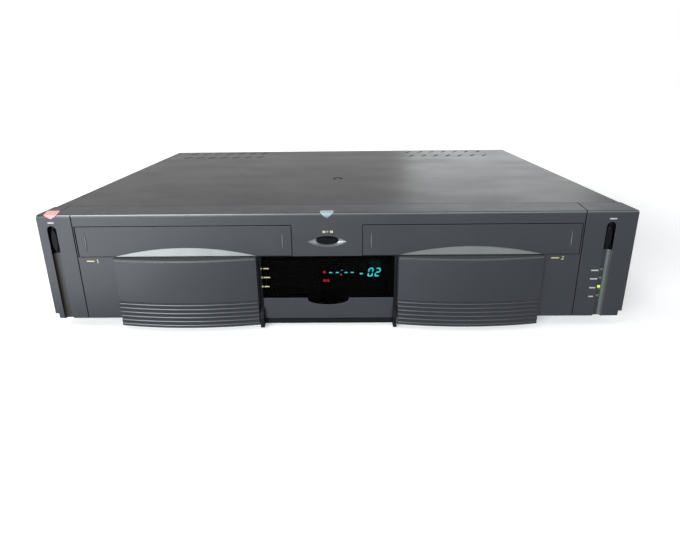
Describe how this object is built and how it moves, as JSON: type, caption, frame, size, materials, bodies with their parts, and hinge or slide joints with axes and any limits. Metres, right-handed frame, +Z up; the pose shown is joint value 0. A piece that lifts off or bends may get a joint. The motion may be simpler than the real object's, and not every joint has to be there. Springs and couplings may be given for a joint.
{
  "type": "dual deck video cassette recorder",
  "caption": "Wide low tabletop recorder with side by side cassette slots behind swing-in flaps, bowed drop-down control doors, a central display window and a folded steel cover.",
  "frame": {"origin": "centre of the bounding box, on the surface that the feet stand on", "axes": "+X to the viewer's right along the front, +Y from the front to the rear, +Z up"},
  "size_m": [0.55, 0.4114, 0.1151],
  "materials": {
    "charcoal_plastic": "fine satin texture",
    "dark_plastic": "satin",
    "gloss_black": "polished",
    "smoked_window": "polished smoked",
    "red_lens": "frosted",
    "blue_lens": "frosted",
    "lamp": "polished",
    "cover_paint": "satin",
    "zinc_steel": "bright zinc",
    "drum_aluminium": "machined",
    "board": "lacquered",
    "socket_black": "satin",
    "rubber_foot": "matt",
    "screw_black": "blackened",
    "display_glass": "polished"
  },
  "bodies": {
    "case": {"front_bezel": "charcoal_plastic", "left_end_cap": "charcoal_plastic", "right_end_cap": "charcoal_plastic", "display_window": "smoked_window", "lower_panel": "charcoal_plastic", "kick_strip": "dark_plastic", "display_module": "display_glass", "input_lamps": "lamp", "top_cover": "cover_paint", "base_pan": "zinc_steel", "rear_panel": "cover_paint", "rear_jacks": "socket_black", "rf_connectors": "zinc_steel", "cord_gland": "socket_black", "case_screws": "screw_black", "feet": "rubber_foot", "main_board": "board", "power_supply": "board", "tuner_module": "zinc_steel", "centre_lens": "blue_lens", "power_lens": "red_lens", "control_panel_1": "dark_plastic", "control_panel_2": "dark_plastic", "deck_frame_1": "zinc_steel", "deck_frame_2": "zinc_steel", "drum_base_1": "drum_aluminium", "drum_base_2": "drum_aluminium"},
    "copy_button": {"copy_button": "gloss_black"},
    "power_button": {"power_button": "gloss_black"},
    "view_button": {"view_button": "gloss_black"},
    "cassette_flap_1": {"cassette_flap_1": "charcoal_plastic"},
    "control_door_1": {"control_door_1": "charcoal_plastic"},
    "eject_key_1": {"eject_key_1": "dark_plastic"},
    "rewind_key_1": {"rewind_key_1": "dark_plastic"},
    "play_key_1": {"play_key_1": "dark_plastic"},
    "forward_key_1": {"forward_key_1": "dark_plastic"},
    "record_key_1": {"record_key_1": "dark_plastic"},
    "carrier_sled_1": {"carrier_sled_1": "zinc_steel"},
    "cassette_tray_1": {"cassette_tray_1": "zinc_steel"},
    "head_drum_1": {"head_drum_1": "drum_aluminium"},
    "capstan_1": {"capstan_1": "zinc_steel"},
    "supply_reel_1": {"supply_reel_1": "dark_plastic"},
    "takeup_reel_1": {"takeup_reel_1": "dark_plastic"},
    "pinch_arm_1": {"pinch_arm_1": "zinc_steel"},
    "pinch_roller_1": {"pinch_roller_1": "rubber_foot"},
    "cassette_flap_2": {"cassette_flap_2": "charcoal_plastic"},
    "control_door_2": {"control_door_2": "charcoal_plastic"},
    "eject_key_2": {"eject_key_2": "dark_plastic"},
    "rewind_key_2": {"rewind_key_2": "dark_plastic"},
    "play_key_2": {"play_key_2": "dark_plastic"},
    "forward_key_2": {"forward_key_2": "dark_plastic"},
    "record_key_2": {"record_key_2": "dark_plastic"},
    "carrier_sled_2": {"carrier_sled_2": "zinc_steel"},
    "cassette_tray_2": {"cassette_tray_2": "zinc_steel"},
    "head_drum_2": {"head_drum_2": "drum_aluminium"},
    "capstan_2": {"capstan_2": "zinc_steel"},
    "supply_reel_2": {"supply_reel_2": "dark_plastic"},
    "takeup_reel_2": {"takeup_reel_2": "dark_plastic"},
    "pinch_arm_2": {"pinch_arm_2": "zinc_steel"},
    "pinch_roller_2": {"pinch_roller_2": "rubber_foot"}
  },
  "joints": [
    {"name": "copy_button_press", "type": "slide", "parent": "case", "child": "copy_button", "axis": [0, 1, 0], "range_m": [0, 0.0015], "stiffness_N_per_m": 300},
    {"name": "power_button_press", "type": "slide", "parent": "case", "child": "power_button", "axis": [0, 1, 0], "range_m": [0, 0.0018], "stiffness_N_per_m": 300},
    {"name": "view_button_press", "type": "slide", "parent": "case", "child": "view_button", "axis": [0, 1, 0], "range_m": [0, 0.0018], "stiffness_N_per_m": 300},
    {"name": "cassette_flap_1_hinge", "type": "hinge", "parent": "case", "child": "cassette_flap_1", "pos_m": [-0.1408, -0.19245, 0.1013], "axis": [1, 0, 0], "range_deg": [0, 80], "stiffness_Nm_per_rad": 0.01, "springref_deg": -20.05},
    {"name": "control_door_1_hinge", "type": "hinge", "parent": "case", "child": "control_door_1", "pos_m": [-0.1408, -0.19585, 0.0137], "axis": [1, 0, 0], "range_deg": [0, 80]},
    {"name": "eject_key_1_press", "type": "slide", "parent": "case", "child": "eject_key_1", "axis": [0, 1, 0], "range_m": [0, 0.0015], "stiffness_N_per_m": 300},
    {"name": "rewind_key_1_press", "type": "slide", "parent": "case", "child": "rewind_key_1", "axis": [0, 1, 0], "range_m": [0, 0.0015], "stiffness_N_per_m": 300},
    {"name": "play_key_1_press", "type": "slide", "parent": "case", "child": "play_key_1", "axis": [0, 1, 0], "range_m": [0, 0.0015], "stiffness_N_per_m": 300},
    {"name": "forward_key_1_press", "type": "slide", "parent": "case", "child": "forward_key_1", "axis": [0, 1, 0], "range_m": [0, 0.0015], "stiffness_N_per_m": 300},
    {"name": "record_key_1_press", "type": "slide", "parent": "case", "child": "record_key_1", "axis": [0, 1, 0], "range_m": [0, 0.0015], "stiffness_N_per_m": 300},
    {"name": "carrier_sled_1_slide", "type": "slide", "parent": "case", "child": "carrier_sled_1", "axis": [0, 1, 0], "range_m": [0, 0.065]},
    {"name": "cassette_tray_1_drop", "type": "slide", "parent": "carrier_sled_1", "child": "cassette_tray_1", "axis": [0, 0, -1], "range_m": [0, 0.025]},
    {"name": "head_drum_1_spin", "type": "hinge", "parent": "case", "child": "head_drum_1", "pos_m": [-0.1408, 0.00565, 0.037], "axis": [0, 0.104, 0.9946], "continuous": true},
    {"name": "capstan_1_spin", "type": "hinge", "parent": "case", "child": "capstan_1", "pos_m": [-0.0768, -0.02035, 0.037], "axis": [0, 0, 1], "continuous": true},
    {"name": "supply_reel_1_spin", "type": "hinge", "parent": "case", "child": "supply_reel_1", "pos_m": [-0.18715, -0.08885, 0.038], "axis": [0, 0, 1], "continuous": true},
    {"name": "takeup_reel_1_spin", "type": "hinge", "parent": "case", "child": "takeup_reel_1", "pos_m": [-0.09445, -0.08885, 0.038], "axis": [0, 0, 1], "continuous": true},
    {"name": "pinch_arm_1_swing", "type": "hinge", "parent": "case", "child": "pinch_arm_1", "pos_m": [-0.0648, 0.00965, 0.037], "axis": [0, 0, -1], "range_deg": [0, 22]},
    {"name": "pinch_roller_1_spin", "type": "hinge", "parent": "pinch_arm_1", "child": "pinch_roller_1", "pos_m": [-0.05563, -0.01892, 0.044], "axis": [0, 0, 1], "continuous": true},
    {"name": "cassette_flap_2_hinge", "type": "hinge", "parent": "case", "child": "cassette_flap_2", "pos_m": [0.1258, -0.19245, 0.1013], "axis": [1, 0, 0], "range_deg": [0, 80], "stiffness_Nm_per_rad": 0.01, "springref_deg": -20.05},
    {"name": "control_door_2_hinge", "type": "hinge", "parent": "case", "child": "control_door_2", "pos_m": [0.1258, -0.19585, 0.0137], "axis": [1, 0, 0], "range_deg": [0, 80]},
    {"name": "eject_key_2_press", "type": "slide", "parent": "case", "child": "eject_key_2", "axis": [0, 1, 0], "range_m": [0, 0.0015], "stiffness_N_per_m": 300},
    {"name": "rewind_key_2_press", "type": "slide", "parent": "case", "child": "rewind_key_2", "axis": [0, 1, 0], "range_m": [0, 0.0015], "stiffness_N_per_m": 300},
    {"name": "play_key_2_press", "type": "slide", "parent": "case", "child": "play_key_2", "axis": [0, 1, 0], "range_m": [0, 0.0015], "stiffness_N_per_m": 300},
    {"name": "forward_key_2_press", "type": "slide", "parent": "case", "child": "forward_key_2", "axis": [0, 1, 0], "range_m": [0, 0.0015], "stiffness_N_per_m": 300},
    {"name": "record_key_2_press", "type": "slide", "parent": "case", "child": "record_key_2", "axis": [0, 1, 0], "range_m": [0, 0.0015], "stiffness_N_per_m": 300},
    {"name": "carrier_sled_2_slide", "type": "slide", "parent": "case", "child": "carrier_sled_2", "axis": [0, 1, 0], "range_m": [0, 0.065]},
    {"name": "cassette_tray_2_drop", "type": "slide", "parent": "carrier_sled_2", "child": "cassette_tray_2", "axis": [0, 0, -1], "range_m": [0, 0.025]},
    {"name": "head_drum_2_spin", "type": "hinge", "parent": "case", "child": "head_drum_2", "pos_m": [0.1258, 0.00565, 0.037], "axis": [0, 0.104, 0.9946], "continuous": true},
    {"name": "capstan_2_spin", "type": "hinge", "parent": "case", "child": "capstan_2", "pos_m": [0.1898, -0.02035, 0.037], "axis": [0, 0, 1], "continuous": true},
    {"name": "supply_reel_2_spin", "type": "hinge", "parent": "case", "child": "supply_reel_2", "pos_m": [0.07945, -0.08885, 0.038], "axis": [0, 0, 1], "continuous": true},
    {"name": "takeup_reel_2_spin", "type": "hinge", "parent": "case", "child": "takeup_reel_2", "pos_m": [0.17215, -0.08885, 0.038], "axis": [0, 0, 1], "continuous": true},
    {"name": "pinch_arm_2_swing", "type": "hinge", "parent": "case", "child": "pinch_arm_2", "pos_m": [0.2018, 0.00965, 0.037], "axis": [0, 0, -1], "range_deg": [0, 22]},
    {"name": "pinch_roller_2_spin", "type": "hinge", "parent": "pinch_arm_2", "child": "pinch_roller_2", "pos_m": [0.21097, -0.01892, 0.044], "axis": [0, 0, 1], "continuous": true}
  ]
}
